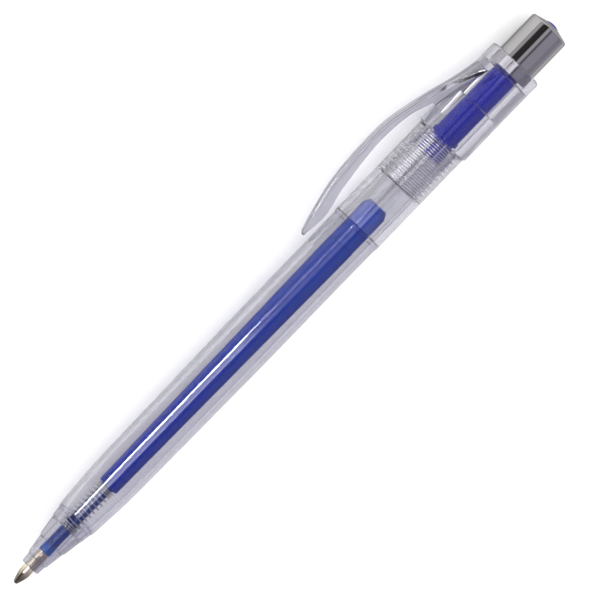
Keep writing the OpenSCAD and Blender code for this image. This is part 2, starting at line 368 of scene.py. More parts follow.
def on_axis(net, back, reach, angle):
    """The place so far back from the nose and from the axis, in millimetres, at an angle round it."""
    return net.add("ShaderNodeCombineXYZ", {}, {
        "X": NOSE - back * MM,
        "Y": reach * angle.math("COSINE") * MM + AXIS.y,
        "Z": reach * angle.math("SINE") * MM + AXIS.z})


# %% [markdown]
# Nearly every piece is turned round the axis, so one tree turns them all. It takes a profile, a line
# of points in millimetres, and bends a grid of that many rows round the axis. Where a pitch is given,
# it also winds a thread: the radius rises and falls once for each pitch, and shifts by one pitch in a
# full turn. Cutting the wave off above and below leaves flat crests and steep flanks.


# %% The lathe tree
WELD = 0.0000005
FLANK_STEEPNESS = 2.8


def lathe_tree():
    """Bends a grid round the axis, with one row for each point of the profile."""
    net, identifiers, given = start_tree("lathe", {
        "Profile": "Object", "Segments": "Int", "Thread Start": "Float", "Thread End": "Float",
        "Pitch": "Float", "Depth": "Float", "Material": "Material"})
    profile = net.add("GeometryNodeObjectInfo", {}, {"Object": given["Profile"]}, out="Geometry")
    rows = net.add("GeometryNodeAttributeDomainSize", {"component": "MESH"}, {"Geometry": profile})
    columns = given["Segments"] + 1
    grid = net.add("GeometryNodeMeshGrid", {}, {
        "Size X": 1.0, "Size Y": 1.0, "Vertices X": rows, "Vertices Y": columns})
    across = net.add("ShaderNodeSeparateXYZ", {}, {"Vector": net.add("GeometryNodeInputPosition")})
    along_grid = Value(net.tree, across.socket.node.outputs[1])
    row = ((across + 0.5) * (rows - 1)).math("ROUND")
    turn = along_grid + 0.5
    point = net.add("GeometryNodeSampleIndex", {"data_type": "FLOAT_VECTOR", "domain": "POINT"},
                    {"Geometry": profile, "Value": net.add("GeometryNodeInputPosition"), "Index": row})
    back = net.add("ShaderNodeSeparateXYZ", {}, {"Vector": point})
    reach = Value(net.tree, back.socket.node.outputs[1])
    inside = back.math("GREATER_THAN", given["Thread Start"]) * back.math("LESS_THAN", given["Thread End"])
    wave = ((back / given["Pitch"] + turn).math("FRACT") - 0.5).math("ABSOLUTE") * 2.0 - 0.5
    ridge = (wave * FLANK_STEEPNESS).math("MINIMUM", 0.5).math("MAXIMUM", -0.5)
    threaded = reach + inside * ridge * given["Depth"]
    bent = net.add("GeometryNodeSetPosition", {}, {
        "Geometry": grid, "Position": on_axis(net, back, threaded, turn * (2 * math.pi))})
    welded = net.add("GeometryNodeMergeByDistance", {}, {"Geometry": bent, "Distance": WELD})
    smooth = net.add("GeometryNodeSetShadeSmooth", {}, {"Geometry": welded})
    return finish_tree(net, smooth, given["Material"]), identifiers


LATHE, LATHE_INPUTS = lathe_tree()

# %% [markdown]
# The tree's result is turned into a plain mesh. Points less than half a micrometre apart become one.
# The normals are then recalculated, so that they point outwards whichever way round the profile was
# drawn, and edges are marked sharp where two faces meet at more than 30 degrees.


# %% Turned pieces
SAME_POINT = 0.0000004


def tidy_mesh(obj, sharp_angle=30):
    """Welds, points the faces outwards and marks the sharp edges."""
    shape = bmesh.new()
    shape.from_mesh(obj.data)
    bmesh.ops.remove_doubles(shape, verts=shape.verts, dist=SAME_POINT)
    bmesh.ops.dissolve_degenerate(shape, edges=shape.edges, dist=SAME_POINT / 2)
    loose = [edge for edge in shape.edges if not edge.link_faces]
    bmesh.ops.delete(shape, geom=loose, context="EDGES")
    bmesh.ops.recalc_face_normals(shape, faces=shape.faces)
    open_edges = sum(1 for edge in shape.edges if len(edge.link_faces) != 2)
    shape.to_mesh(obj.data)
    shape.free()
    obj.data.shade_smooth()
    obj.data.set_sharp_from_angle(angle=math.radians(sharp_angle))
    if open_edges:
        print("  open edges on", obj.name, open_edges)
    return obj


def mesh_object(name, points, faces, edges=(), material=None):
    """A new object from plain lists of points, faces and edges."""
    mesh = bpy.data.meshes.new(name)
    mesh.from_pydata([tuple(p) for p in points], edges, faces)
    if material:
        mesh.materials.append(material)
    obj = bpy.data.objects.new(name, mesh)
    bpy.context.scene.collection.objects.link(obj)
    return obj


def run_tree(name, tree, inputs, values):
    """Runs a Geometry Nodes tree on an empty mesh and keeps its result as a plain mesh object."""
    obj = mesh_object(name + "_raw", [], [])
    modifier = obj.modifiers.new("shape", "NODES")
    modifier.node_group = tree
    for key, value in values.items():
        modifier[inputs[key]] = value
    view = bpy.context.evaluated_depsgraph_get()
    mesh = bpy.data.meshes.new_from_object(obj.evaluated_get(view))
    bpy.data.objects.remove(obj)
    mesh.materials.clear()
    mesh.materials.append(values["Material"])
    mesh.polygons.foreach_set("material_index", [0] * len(mesh.polygons))
    made = bpy.data.objects.new(name, mesh)
    bpy.context.scene.collection.objects.link(made)
    return made


def turned(name, profile, material, segments=128, thread=None):
    """A piece turned from (back, radius) points; a thread has a start, an end, a pitch and a depth."""
    line = mesh_object(name + "_profile", [(b, r, 0) for b, r in profile], [],
                       [(i, i + 1) for i in range(len(profile) - 1)])
    start, end, pitch, depth = thread or (0.0, 0.0, 1.0, 0.0)
    obj = run_tree(name, LATHE, LATHE_INPUTS, {
        "Profile": line, "Segments": segments, "Thread Start": start, "Thread End": end,
        "Pitch": pitch, "Depth": depth, "Material": material})
    bpy.data.objects.remove(line)
    tidy_mesh(obj)
    print(name, "has", len(obj.data.polygons), "faces")
    return obj


# %% [markdown]
# Moulded edges are never quite sharp. `rounded` replaces a corner of a profile by an arc. `fine` adds
# rows where a thread or a slow curve needs them.


# %% Profile helpers
def rounded(points, sizes, steps=5):
    """The same line with each corner whose size isn't 0 replaced by an arc that starts that far away."""
    line = []
    for i, (corner, size) in enumerate(zip(points, sizes)):
        if not size:
            line.append(corner)
            continue
        here, before, after = (Vector(p) for p in (corner, points[i - 1], points[i + 1]))
        first = here + (before - here).normalized() * min(size, (before - here).length * 0.45)
        last = here + (after - here).normalized() * min(size, (after - here).length * 0.45)
        for k in range(steps + 1):
            t = k / steps
            line.append(tuple(first * (1 - t) ** 2 + here * 2 * t * (1 - t) + last * t ** 2))
    return line


def fine(points, step):
    """The same line with rows no further apart than step."""
    line = [points[0]]
    for a, b in zip(points, points[1:]):
        pieces = max(1, math.ceil(abs(b[0] - a[0]) / step))
        line += [(a[0] + (b[0] - a[0]) * k / pieces, a[1] + (b[1] - a[1]) * k / pieces)
                 for k in range(1, pieces)]
        line.append(b)
    return line


def curve_through(points, steps=8):
    """A smooth Catmull-Rom curve through points."""
    line = []
    for i in range(len(points) - 1):
        a, b, c, d = (np.array(points[min(max(k, 0), len(points) - 1)], float) for k in range(i - 1, i + 3))
        for k in range(steps):
            t = k / steps
            line.append(tuple(0.5 * (2 * b + (c - a) * t + (2 * a - 5 * b + 4 * c - d) * t ** 2
                                     + (3 * b - a - 3 * c + d) * t ** 3)))
    return line + [tuple(points[-1])]


# %% [markdown]
# The grey tint is marked face by face, and with it painted shade and painted light. A rule gets what it
# needs to know about one face: how far back it is, how far from the axis, and how much it looks ahead,
# outwards and towards the clip's side.


# %% Marking the outer skin's tint and painted shade
def mark_tint_and_shade(obj, greyness):
    """Writes how grey each face is, tint and painted shade alike, judged from where it is and which way it
    faces.
    """
    marks = obj.data.attributes.new("skin", "FLOAT", "FACE")
    for face in obj.data.polygons:
        arm = Vector((0, face.center.y - AXIS.y, face.center.z - AXIS.z))
        marks.data[face.index].value = greyness(SimpleNamespace(
            back=(NOSE - face.center.x) / MM, reach=arm.length / MM, ahead=face.normal.x,
            outward=face.normal.dot(arm.normalized()), clipward=arm.normalized().dot(OUT)))


# %% [markdown]
# The lower barrel is the pen's main shell. Outside it swells from the stepped nose to a long, nearly
# straight grip, and a fine line shows where the wall thickens for the thread. Inside are the hole for
# the point, the seat of the spring, the bore for the refill and the inside thread. Only the outside is
# grey, and one flank of the thread. The steps that ring the nose are fully grey and that flank partly
# grey: painted shade that draws dark lines there. The side towards the clip is painted less grey, as
# painted light.

# %% The lower barrel
THREAD_PITCH = 1.04
THREAD_DEPTH = 0.3
SEAT = front("return_spring") - 0.05
SPIGOT = front("upper_barrel")
THREAD = JOINT - 11.8
THREAD_END = THREAD + 10.1
INSIDE_THREAD_END = JOINT - 0.35
WALL_LINE = JOINT - 23.4
NOSE_END = 13.1
BARREL_RADIUS = radius("lower_barrel")
nose = rounded(
    [(0, 1.32), (0, 1.95), (1.98, 2.1), (2.18, 2.32), (6.0, 2.85), (6.18, 3.05), (10.15, 3.65),
     (10.3, 3.76), (12.1, 4.02), (12.3, 4.2), (NOSE_END, 4.3)],
    [0, 0.4, 0.03, 0.06, 0.03, 0.05, 0.03, 0.03, 0.03, 0.06, 0])
swell = curve_through([(NOSE_END, 4.3), (16.8, 4.56), (22.5, 4.85), (32, 4.98), (41, 5.07), (50, 5.15),
                       (58, 5.235)])
wall_step = rounded([(WALL_LINE - 8, 5.235), (WALL_LINE, 5.29), (WALL_LINE + 0.18, 5.4),
                     (WALL_LINE + 1, 5.41)], [0, 0.03, 0.03, 0])[:-1]
mouth = rounded([(WALL_LINE + 1, BARREL_RADIUS - 0.005), (JOINT, BARREL_RADIUS - 0.005), (JOINT, 4.5)],
                [0, 0.12, 0])
thread_wall = fine([(JOINT - 0.3, 4.42), (THREAD - 0.1, 4.42)], THREAD_PITCH / 20)
bore = rounded([(THREAD - 0.1, 4.1), (SPIGOT - 0.1, 4.1), (SPIGOT - 0.1, 3.71), (26, 3.71), (20, 3.5),
                (13.2, 2.9), (11.7, 2.25), (SEAT, 2.25), (SEAT, 1.56), (3.6, 1.56), (3, 1.32), (0, 1.32)],
               [0, 0.1, 0.1, 3, 3, 0.8, 0.4, 0.06, 0.06, 0.1, 0.1, 0])
lower_shell = turned("lower_barrel_shell", nose + swell[1:] + wall_step + mouth + thread_wall + bore,
                     BARREL_CLEAR, 160, (THREAD, INSIDE_THREAD_END, THREAD_PITCH, THREAD_DEPTH))


def lower_tint_and_shade(face):
    """Painted shade: fully grey on the small steps that ring the nose, partly on one flank of the thread;
    the clip's side is painted lighter.
    """
    # Painted shade: one flank of the inside thread is grey, to draw the thread's dark lines.
    if THREAD < face.back < INSIDE_THREAD_END and face.reach < 4.8 and face.ahead > 0.25:
        return 0.8
    if face.outward < 0.05 and face.ahead < 0.9:
        return 0.0
    # Painted shade: the steps that ring the nose are fully grey, to draw dark lines at them.
    if 0.3 < face.back < WALL_LINE + 1 and face.ahead > 0.5:
        return 1.0
    # Painted light: faces towards the clip's side get less grey, so that side looks lit.
    if face.back > SPIGOT:
        return 0.46 - 0.1 * face.clipward
    return (0.7 if face.back < 13 else 0.6) - 0.08 * face.clipward


mark_tint_and_shade(lower_shell, lower_tint_and_shade)
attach(lower_shell, "lower_barrel")
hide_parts("lower_barrel")

# %% [markdown]
# Some pieces are turned first and then get something that isn't round: a tooth joined on, or a recess
# cut out. Boolean modifiers do that. A loft makes the solids they work with: it joins sections of
# equal length into a closed skin.


# %% Lofts and Boolean modifiers
def loft(name, sections, material=None):
    """Joins sections of equal length into a closed skin with flat ends."""
    count = len(sections[0])
    points = [point for section in sections for point in section]
    faces = [tuple(range(count))[::-1],
             tuple(range((len(sections) - 1) * count, len(sections) * count))]
    for i in range(len(sections) - 1):
        a, b = i * count, (i + 1) * count
        faces += [(a + k, a + (k + 1) % count, b + (k + 1) % count, b + k) for k in range(count)]
    return tidy_mesh(mesh_object(name, points, faces, material=material), 40)


def prism(name, outline, across_low, across_high):
    """A solid with a (back, out) outline, between two places across the pen."""
    return loft(name, [[place(back, across, out) for back, out in outline]
                       for across in (across_low, across_high)])


def ring_sector(name, start, end, inner, outer, middle, width, steps=10):
    """A block between two radii, centred on an angle round the axis, in degrees from the clip."""
    angles = [math.radians(middle - width / 2 + width * k / steps) for k in range(steps + 1)]
    loop = [(inner, angle) for angle in angles] + [(outer, angle) for angle in reversed(angles)]
    return loft(name, [[place(back, reach * math.sin(angle), reach * math.cos(angle))
                        for reach, angle in loop]
                       for back in (start, end)])


def four_sectors(operation, name, start, end, inner, outer, first_angle, width):
    """Four equal blocks round the axis, as steps for Boolean modifiers."""
    return [(operation, ring_sector(f"{name}_{k}", start, end, inner, outer, first_angle + 90 * k, width))
            for k in range(4)]


def booleans(obj, steps):
    """Applies each (operation, tool) to obj in turn, and removes the tools."""
    for operation, tool in steps:
        tool.data.materials.clear()
        tool.data.materials.append(obj.data.materials[0])
        modifier = obj.modifiers.new(operation.lower(), "BOOLEAN")
        modifier.operation = operation
        modifier.object = tool
        modifier.solver = "EXACT"
    view = bpy.context.evaluated_depsgraph_get()
    mesh = bpy.data.meshes.new_from_object(obj.evaluated_get(view))
    obj.modifiers.clear()
    obj.data = mesh
    for _, tool in steps:
        bpy.data.objects.remove(tool)
    return tidy_mesh(obj)


# %% [markdown]
# The clip has a T section. Its plate is a slice of a turned shell, so its top is gently crowned, and a
# keel stands under it. One loft makes it: the same section is drawn at each station, with the plate's
# height, its half width and the keel's depth read from three smooth curves. Where the clip narrows
# towards its tip the keel narrows and flattens with it.

# %% The clip's section
CLIP_PLATE = 0.8
PLATE_CORNER = 0.2
KEEL_HALF = 0.75
KEEL_SHARE = 0.7
LEAST_KEEL_DEPTH = 0.08
KEEL_FILLET = 0.12
KEEL_CORNER = 0.3


def clip_section(back, top, half, keel, plate=CLIP_PLATE):
    """The T section at one station, anticlockwise, as points in the frame."""
    top -= (CLIP_PLATE - plate) / 2
    edge = plate / 2
    half = max(half, KEEL_HALF * 0.35)
    keel_half = min(KEEL_HALF, half * KEEL_SHARE)
    inner = top - plate
    keel = min(keel, inner - LEAST_KEEL_DEPTH)
    flat = half - PLATE_CORNER
    outline = []
    for k in range(13):
        across = -flat + 2 * flat * k / 12
        outline.append((across, math.sqrt(top ** 2 - across ** 2)))
    crown_points = len(outline)
    middle = math.sqrt(top ** 2 - flat ** 2) - edge
    for k in range(1, 6):
        angle = math.pi / 2 - math.pi * k / 6
        outline.append((flat + PLATE_CORNER * math.cos(angle), middle + edge * math.sin(angle)))
    for k in range(5):
        across = flat + (keel_half + 0.15 - flat) * k / 4
        outline.append((across, math.sqrt(inner ** 2 - across ** 2)))
    outline += [(keel_half + 0.04, inner - 0.05 - 0.4 * KEEL_FILLET),
                (keel_half, inner - KEEL_FILLET - 0.06)]
    depth = inner - 0.2 - keel
    corner = min(KEEL_CORNER, max(depth * 0.4, 0.01), keel_half * 0.6)
    for k in range(5):
        angle = -math.pi / 2 * k / 4
        outline.append((keel_half - corner + corner * math.cos(angle),
                        keel + corner + corner * math.sin(angle)))
    mirrored = [(-across, out) for across, out in reversed(outline[crown_points:])]
    return [place(back, across, out) for across, out in outline + mirrored]


# %% [markdown]
# The clip's side view comes from two curves, the top of its plate and the underside of its keel, and
# its width from a third. Each is given by a few stations ahead of the joint, in millimetres. In its
# last millimetre the plate thins, so the tip is round. The blade ends at the hinge.

# %% The clip's curves and its blade
REAR = rear("upper_barrel")
HINGE = rear("pocket_clip")
ROOT_END = JOINT + 15.6
CLIP_TIP = JOINT - front("pocket_clip")
ROOT_START = -3.9


def reader(points):
    """A function that reads a smooth curve through (ahead of the joint, value) points."""
    line = curve_through(points)
    stations, values = [p[0] for p in line][::-1], [p[1] for p in line][::-1]
    return lambda ahead: float(np.interp(ahead, stations, values))


TOP = reader([(30.7, 7.14), (25.8, 8.56), (19.3, 9.95), (11.8, 10.47), (4.3, 10.3), (-3.9, 8.57),
              (-10.7, 6.72), (-15.6, 5.74)])
UNDER = reader([(30.6, 6.6), (28.6, 6.15), (25.8, 5.97), (23, 6.36), (19.3, 7.2), (11.8, 8.1), (6.5, 8.3),
                (0.6, 7.7), (-3.9, 6.2)])
HALF = reader([(30.7, 0.5), (29.8, 1.05), (25.8, 1.75), (17, 2.05), (11.8, 2.18), (-3.9, 2.18)])
ROOT_HALF = reader([(-3.9, 2.18), (-8, 2.65), (-12, 3.4), (-15.6, 4.4)])


def blade_section(ahead):
    """One section of the blade; in its last millimetre the plate thins to a rounded end."""
    share = max(0.0, (ahead - CLIP_TIP + 1) / 1.02)
    thinned = CLIP_PLATE * max(0.25, math.sqrt(1 - share ** 2))
    return clip_section(JOINT - ahead, TOP(ahead), HALF(ahead), UNDER(ahead), thinned)


blade_stations = list(np.linspace(CLIP_TIP - 0.01, CLIP_TIP - 0.3, 8))
blade_stations += list(np.linspace(CLIP_TIP - 0.4, 29.0, 9)) + list(np.linspace(28.8, -3.88, 90))
clip_blade = loft("clip_blade", [blade_section(ahead) for ahead in blade_stations], BARREL_CLEAR)
place(HINGE, 0, 8)
place(HINGE - 9, 0, 8)
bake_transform(clip_blade)
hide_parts("pocket_clip")
mark_tint_and_shade(clip_blade, lambda face: 0.5)
print("clip_blade has", len(clip_blade.data.polygons), "faces")

# %% [markdown]
# The upper barrel carries the clip and everything that clicks. Its slim front part is a spigot, with
# the thread outside and the cam's bore inside. It is turned first. Then the recess under the clip's
# root is cut out, and the root and the four guide teeth are joined on.

# %% The upper barrel
BEARING = JOINT + 9.2
BUTTON_FLOOR = REAR - 3.4
UPPER_RADIUS = 5.78
GUIDE_RADIUS = 2.72
outside = rounded(
    [(SPIGOT, 3.31), (SPIGOT, 4.0), (THREAD, 4.0), (THREAD, 4.05)], [0, 0.12, 0.05, 0])
male = fine([(THREAD, 4.19), (THREAD_END, 4.19)], THREAD_PITCH / 20)
flange = rounded([(THREAD_END, 4.0), (JOINT + 0.01, 4.0), (JOINT + 0.01, 5.45), (JOINT + 0.4, UPPER_RADIUS),
                  (REAR, UPPER_RADIUS), (REAR, 4.33), (BUTTON_FLOOR, 4.33), (BUTTON_FLOOR, GUIDE_RADIUS),
                  (BEARING, GUIDE_RADIUS), (BEARING, 3.31), (SPIGOT, 3.31)],
                 [0, 0.1, 0.1, 0.12, 0.65, 0.12, 0.2, 0.1, 0.15, 0.15, 0])
upper_shell = turned("upper_barrel_shell", outside + male + flange, BARREL_CLEAR, 160,
                     (THREAD, THREAD_END, THREAD_PITCH, THREAD_DEPTH * 0.67))
recess = [(HINGE, 5.55), (ROOT_END - 0.2, 3.45), (ROOT_END - 0.2, 9), (HINGE, 9)]
root = loft("clip_root", [clip_section(JOINT - ahead, TOP(ahead), ROOT_HALF(ahead), 3.2)
                          for ahead in np.linspace(ROOT_START, JOINT - ROOT_END, 36)], BARREL_CLEAR)
teeth = four_sectors("UNION", "guide", JOINT - 6.2, JOINT, GUIDE_RADIUS, 3.36, 45, 64)
booleans(upper_shell, [("DIFFERENCE", prism("recess", recess, -8, 8)), ("UNION", root)] + teeth)
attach(upper_shell, "upper_barrel")
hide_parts("upper_barrel")


def upper_tint_and_shade(face):
    """Grey on the outside of the rear part, with painted shade on the button's seat and painted light that
    leaves the clip's side lighter.
    """
    if face.back < JOINT:
        return 0.0
    if face.outward < 0.05:
        # Painted shade: the button's seat is nearly fully grey.
        return 0.9 if face.ahead < -0.9 and face.reach < 4.4 else 0.0
    # Painted light: the body's faces towards the clip's side get less grey.
    return 0.5 if face.reach > UPPER_RADIUS + 0.1 else 0.54 - 0.03 * face.clipward


mark_tint_and_shade(upper_shell, upper_tint_and_shade)
print("upper_barrel_shell has", len(upper_shell.data.polygons), "faces")

# %% [markdown]
# The button is a plated cap pressed over the plunger. The plunger's domed end comes through the middle
# of the cap. Its front end is cut into four blocks, which push the cam round.

# %% The button's cap
CAP_FRONT = front("button_cap")
CAP_TOP = rear("button_cap")
CAP_RADIUS = radius("button_cap")
CAP_CORNER = CAP_TOP - 0.75
CAP_BORE = CAP_RADIUS - 0.6
cap = turned("button_cap_shell", rounded(
    [(CAP_FRONT, CAP_BORE), (CAP_FRONT, CAP_RADIUS), (CAP_CORNER, CAP_RADIUS), (CAP_TOP, 1.52),
     (CAP_CORNER, 1.52), (CAP_CORNER - 0.1, CAP_BORE), (CAP_FRONT, CAP_BORE)],
    [0, 0.12, 0.45, 0.05, 0.05, 0.1, 0]), CHROME, 160)
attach(cap, "button")
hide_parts("button_cap")

# %% [markdown]
# The plunger is turned with its dome. Four gaps are cut into its front end, and four short splines that
# guide it in the barrel are joined on behind them.

# %% The plunger
PEN_END = rear("plunger_tube")
PLUNGER_RADIUS = 2.66
PLUNGER_FRONT = front("plunger_tube")
DOME_ANGLE = 1.1
DOME_RADIUS = 1.48
dome = [(PEN_END - 0.72 * (1 - math.cos(angle)), DOME_RADIUS * math.sin(angle) / math.sin(DOME_ANGLE))
        for angle in np.linspace(DOME_ANGLE, 0, 12)]
plunger = turned("plunger", rounded(
    [(PLUNGER_FRONT, 1.76), (PLUNGER_FRONT, PLUNGER_RADIUS), (CAP_CORNER - 6.7, PLUNGER_RADIUS),
     (CAP_CORNER - 6.7, CAP_BORE - 0.02), (CAP_CORNER - 0.65, CAP_BORE - 0.02),
     (CAP_CORNER - 0.62, DOME_RADIUS)],
    [0, 0.1, 0.1, 0.2, 0.1, 0]) + dome[:-1] + [(PEN_END, 0), (CAP_FRONT, 0), (CAP_FRONT, 1.76),
                                              (PLUNGER_FRONT, 1.76)], NAVY, 128)
gaps = four_sectors("DIFFERENCE", "gap", PLUNGER_FRONT - 1, PLUNGER_FRONT + 3.1, 0.5, 3.6, 45, 40)
splines = four_sectors("UNION", "spline", PLUNGER_FRONT + 3.5, PLUNGER_FRONT + 5.5, 2.4, 2.95, 0, 20)
booleans(plunger, gaps + splines)
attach(plunger, "button")
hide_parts("plunger_tube")

# %% [markdown]
# The cam is a clear tube between the refill and the plunger. Four ribs on it slide between the guide
# teeth, and its slim tail runs inside the plunger.

# %% The cam
CAM_FRONT = front("cam_rotor")
CAM_END = PLUNGER_FRONT - 0.05
cam = turned("cam", rounded(
    [(CAM_FRONT, 1.96), (CAM_FRONT, 2.5), (CAM_END, 2.5), (CAM_END, 1.66), (CAM_END + 3.95, 1.66),
     (CAM_END + 3.95, 0)], [0, 0.15, 0.15, 0.1, 0.3, 0])
    + [(CAM_END - 1.5, 0), (CAM_END - 1.5, 1.96), (CAM_FRONT, 1.96)], CAM_CLEAR, 128)
booleans(cam, four_sectors("UNION", "rib", CAM_END - 5.4, CAM_END, 2.3, 3.2, 0, 20))
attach(cam, "rotor")
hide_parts("cam_rotor")

# %% [markdown]
# The refill is a slightly tapered tube, closed behind by a plug with a vent.

# %% The refill's tube and plug
SHOULDER = front("refill_tube")
PLUG = rear("refill_tube")
PLUG_END = rear("refill_plug")
tube = turned("refill_body", rounded(
    [(SHOULDER, 0.96), (SHOULDER, 2.1), (PLUG - 1.6, 2.745), (PLUG, 2.745), (PLUG, 2.36),
     (SHOULDER + 4, 1.71), (SHOULDER + 3, 0.96), (SHOULDER, 0.96)],
    [0, 0.12, 0.3, 0.1, 0, 0, 0, 0]), REFILL_BLUE, 128)
plug = turned("refill_tail", rounded(
    [(PLUG - 4, 0.6), (PLUG - 4, 2.24), (PLUG + 0.01, 2.29), (PLUG + 0.01, 2.64), (PLUG + 0.35, 2.7),
     (PLUG_END - 1.3, 2.7), (PLUG_END, 2.0), (PLUG_END, 0.6), (PLUG - 4, 0.6)],
    [0, 0.2, 0, 0.05, 0.1, 0.15, 0.15, 0.08, 0]), REFILL_BLUE, 128)

# %% [markdown]
# In front of the refill a slim collar holds the metal point, and the spring sits round the collar. The
# point's socket follows the ball with a little room all round. The ink and its follower keep the CAD
# model's shapes and only get their colours.

# %% The collar, the point and the ball
COLLAR = front("point_collar")
BALL = (front("writing_ball") + rear("writing_ball")) / 2
BALL_RADIUS = radius("writing_ball")
SOCKET_FRONT = BALL - 0.14
collar = turned("point_holder", rounded(
    [(COLLAR, 0.81), (COLLAR, 1.26), (COLLAR + 1.8, 1.26), (COLLAR + 2, 1.18), (SHOULDER, 1.21),
     (SHOULDER, 0.93), (SHOULDER + 2.98, 0.93), (SHOULDER + 2.98, 0.46), (COLLAR + 4, 0.46),
     (COLLAR + 4, 0.81), (COLLAR, 0.81)],
    [0, 0.12, 0.06, 0.06, 0, 0, 0.1, 0, 0, 0, 0]), COLLAR_BLUE, 96)
cone = curve_through([(SOCKET_FRONT, 0.44), (BALL + 0.5, 0.66), (BALL + 1.35, 0.93), (COLLAR - 5.6, 1.165)])
shank = rounded([(COLLAR - 5.5, 1.165), (COLLAR, 1.165), (COLLAR, 0.8), (COLLAR + 4, 0.8),
                 (COLLAR + 4, 0.2), (BALL + 0.355, 0.2)], [0, 0.08, 0, 0.05, 0, 0])
socket = [(BALL + 0.2, 0.32), (BALL, 0.37), (SOCKET_FRONT, 0.36)]
point = turned("metal_point", [(SOCKET_FRONT, 0.36)] + cone + shank + socket, POINT_METAL, 96)
ball = turned("ball", [(BALL - BALL_RADIUS * math.cos(angle), BALL_RADIUS * math.sin(angle))
                       for angle in np.linspace(0, math.pi, 25)], BALL_METAL, 48)
for piece, node, material_slot in ((tube, "refill_tube", "refill_plastic"),
                                   (plug, "refill_plug", "refill_plastic"),
                                   (collar, "point_collar", "collar_plastic"),
                                   (point, "writing_point", "nickel_silver")):
    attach(piece, "refill")
    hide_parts(node)
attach(ball, "ball")
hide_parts("writing_ball")
for node, material in (("ink_column", INK), ("grease_follower", GREASE)):
    inner = frame["nodes"][node]
    inner.data.materials.clear()
    inner.data.materials.append(material)
    print(node, "is now", material.name)

# %% [markdown]
# The spring is one wire that winds evenly in the middle and closes up at both ends. A Geometry Nodes
# tree places a long line of points on that coil: the height rises slowly over the closed turns and
# quickly over the open ones. Then it sweeps a round wire along them.


# %% The spring
POINTS_PER_TURN = 40.0
CLOSED_GAP = 0.16


def spring_tree():
    """Winds a line of points into a coil with closed ends, and sweeps a round wire along it."""
    net, identifiers, given = start_tree("spring", {
        "Start": "Float", "Length": "Float", "Open Turns": "Float", "Closed Turns": "Float",
        "Coil Radius": "Float", "Wire Radius": "Float", "Material": "Material"})
    turns = given["Open Turns"] + given["Closed Turns"] * 2.0
    line = net.add("GeometryNodeMeshLine", {}, {"Count": turns * POINTS_PER_TURN + 1.0})
    turn = net.add("GeometryNodeInputIndex") / POINTS_PER_TURN
    wire_width = given["Wire Radius"] * 2.0
    closed_pitch = wire_width + CLOSED_GAP
    open_length = given["Length"] - wire_width - closed_pitch * given["Closed Turns"] * 2.0
    in_open = (turn - given["Closed Turns"]).math("MAXIMUM", 0.0).math("MINIMUM", given["Open Turns"])
    height = (turn - in_open) * closed_pitch + in_open * (open_length / given["Open Turns"])
    back = height + given["Start"] + given["Wire Radius"]
    coil = net.add("GeometryNodeSetPosition", {}, {
        "Geometry": line, "Position": on_axis(net, back, given["Coil Radius"], turn * (2 * math.pi))})
    path = net.add("GeometryNodeMeshToCurve", {}, {"Mesh": coil})
    wire = net.add("GeometryNodeCurvePrimitiveCircle", {}, {
        "Resolution": 12, "Radius": given["Wire Radius"] * MM})
    swept = net.add("GeometryNodeCurveToMesh", {}, {
        "Curve": path, "Profile Curve": wire, "Fill Caps": True})
    return finish_tree(net, swept, given["Material"]), identifiers


WIRE_RADIUS = 0.14
WINDER, WINDER_INPUTS = spring_tree()
spring = run_tree("spring_coil", WINDER, WINDER_INPUTS, {
    "Start": SEAT + 0.05, "Length": SHOULDER - SEAT - 0.1, "Open Turns": 8.0, "Closed Turns": 3.0,
    "Coil Radius": radius("return_spring") - WIRE_RADIUS, "Wire Radius": WIRE_RADIUS,
    "Material": WIRE_METAL})
tidy_mesh(spring)
place(SEAT, 0, 0)
place(SHOULDER, 0, 0)
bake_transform(spring)
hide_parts("return_spring")
print("spring_coil has", len(spring.data.polygons), "faces")

# %% [markdown]
# The studio is a pale floor under a sky. Plated metal and clear plastic show the room as bands, so
# what they reflect or bend meets a sky whose brightness changes with the angle round the pen. The
# floor and the empty background get an even sky instead.

# %% The floor and the sky
VIEW_TILT = math.radians(29.3)
SKY_BANDS = [(-180, 0.75), (-104, 0.68), (-92, 0.47), (-74, 0.5), (-66, 0.6), (-24, 0.6), (-20, 0.26),
             (-11, 0.2), (-8, 0.8), (4, 0.8), (8, 0.05), (38, 0.07), (42, 0.8), (61, 0.8), (180, 0.85)]
EVEN_SKY = 1.36
TO_CAMERA = Vector((0, -math.sin(VIEW_TILT), math.cos(VIEW_TILT)))
TO_CLIP = Vector((0, -math.cos(VIEW_TILT), -math.sin(VIEW_TILT)))

FLOOR_HALF = 3
floor_material, floor_net = new_material("pale_floor")
mottle = noise(floor_net, 30)
finish_material(floor_net, floor_net.add("ShaderNodeBsdfPrincipled", {}, {
    "Base Color": blend_colours(floor_net, mottle, (0.93, 0.93, 0.93), (0.95, 0.95, 0.95)),
    "Roughness": 0.9}))
corners = [(x * FLOOR_HALF, y * FLOOR_HALF, 0) for x, y in ((-1, -1), (1, -1), (1, 1), (-1, 1))]
floor = mesh_object("floor", corners, [(0, 1, 2, 3)], material=floor_material)


